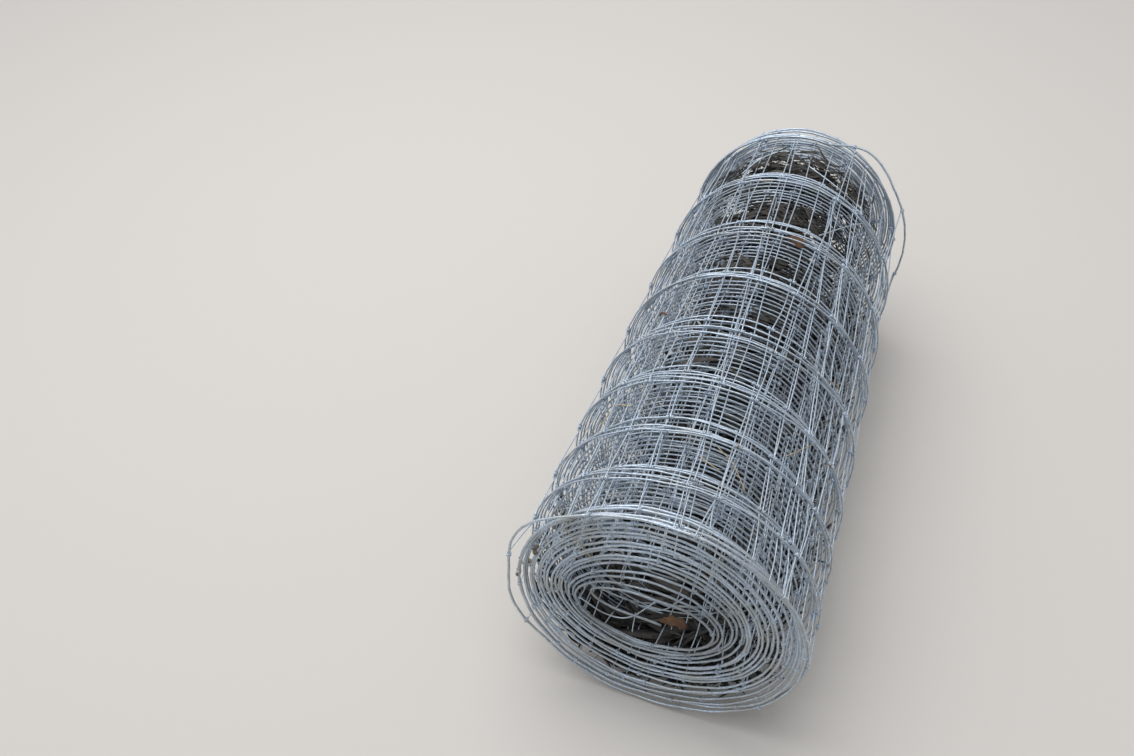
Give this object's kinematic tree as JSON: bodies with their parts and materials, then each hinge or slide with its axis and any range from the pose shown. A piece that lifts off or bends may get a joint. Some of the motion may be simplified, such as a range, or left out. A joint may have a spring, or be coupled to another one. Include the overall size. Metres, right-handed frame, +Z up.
{
  "type": "roll of woven wire fence",
  "caption": "Used roll of galvanised woven field fence lying on its side, with an open bore and its turns showing on both ends.",
  "frame": {"origin": "on the ground under the middle of the roll", "axes": "+Y along the roll from its near end to its far end, +Z up"},
  "size_m": [0.446, 1.0524, 0.397],
  "materials": {
    "galvanised_wire": "weathered galvanised wire, dull blue-grey"
  },
  "bodies": {
    "root": {"fence_roll": "galvanised_wire", "far_strand": "galvanised_wire", "near_strand": "galvanised_wire"}
  },
  "joints": []
}
